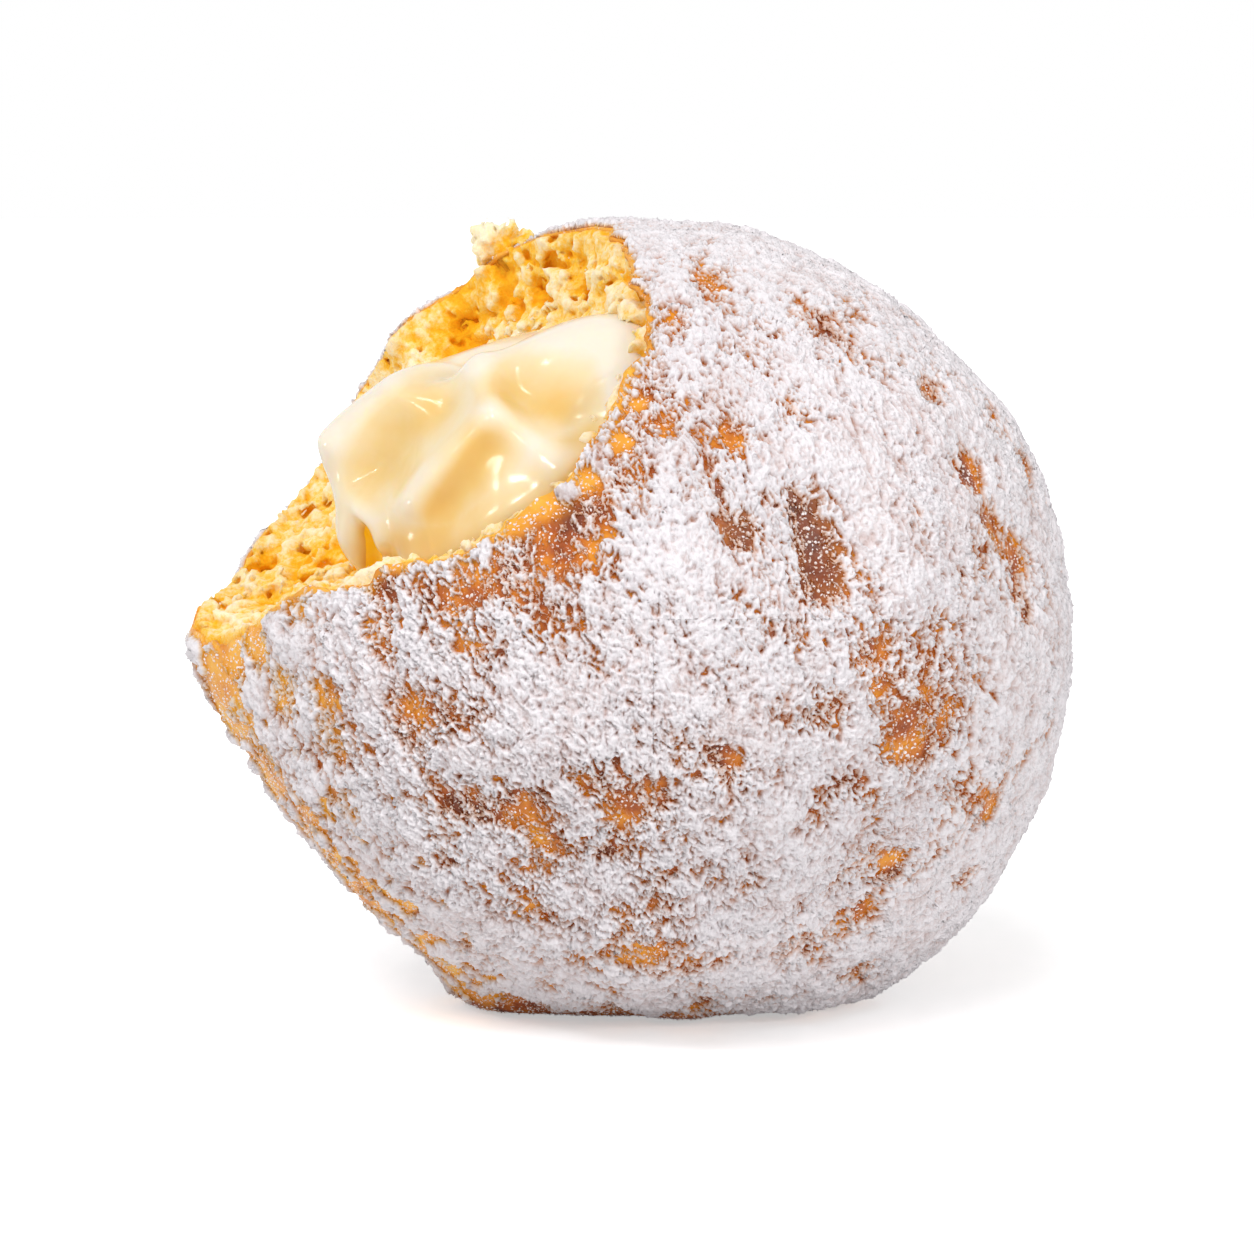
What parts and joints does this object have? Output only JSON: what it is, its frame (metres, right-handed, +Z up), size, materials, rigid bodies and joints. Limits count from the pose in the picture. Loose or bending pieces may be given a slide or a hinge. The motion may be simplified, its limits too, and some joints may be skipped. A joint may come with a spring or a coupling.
{
  "type": "cream-filled doughnut",
  "caption": "A round fried doughnut dusted with icing sugar, bitten open at its upper left so that its custard filling bulges out; it stands on a small flat base.",
  "frame": {"origin": "bottom centre of the whole doughnut's box, in the plane that it stands on", "axes": "+Z up, +X to the right of the shown side, -Y towards the viewer of the shown side; the bite faces -X, +Z and a little -Y"},
  "size_m": [0.0792, 0.0754, 0.0702],
  "materials": {
    "dough": "matte, powdery sugar over fried crust",
    "custard": "wet and glossy"
  },
  "bodies": {
    "root": {"dough": "dough", "custard": "custard"}
  },
  "joints": []
}
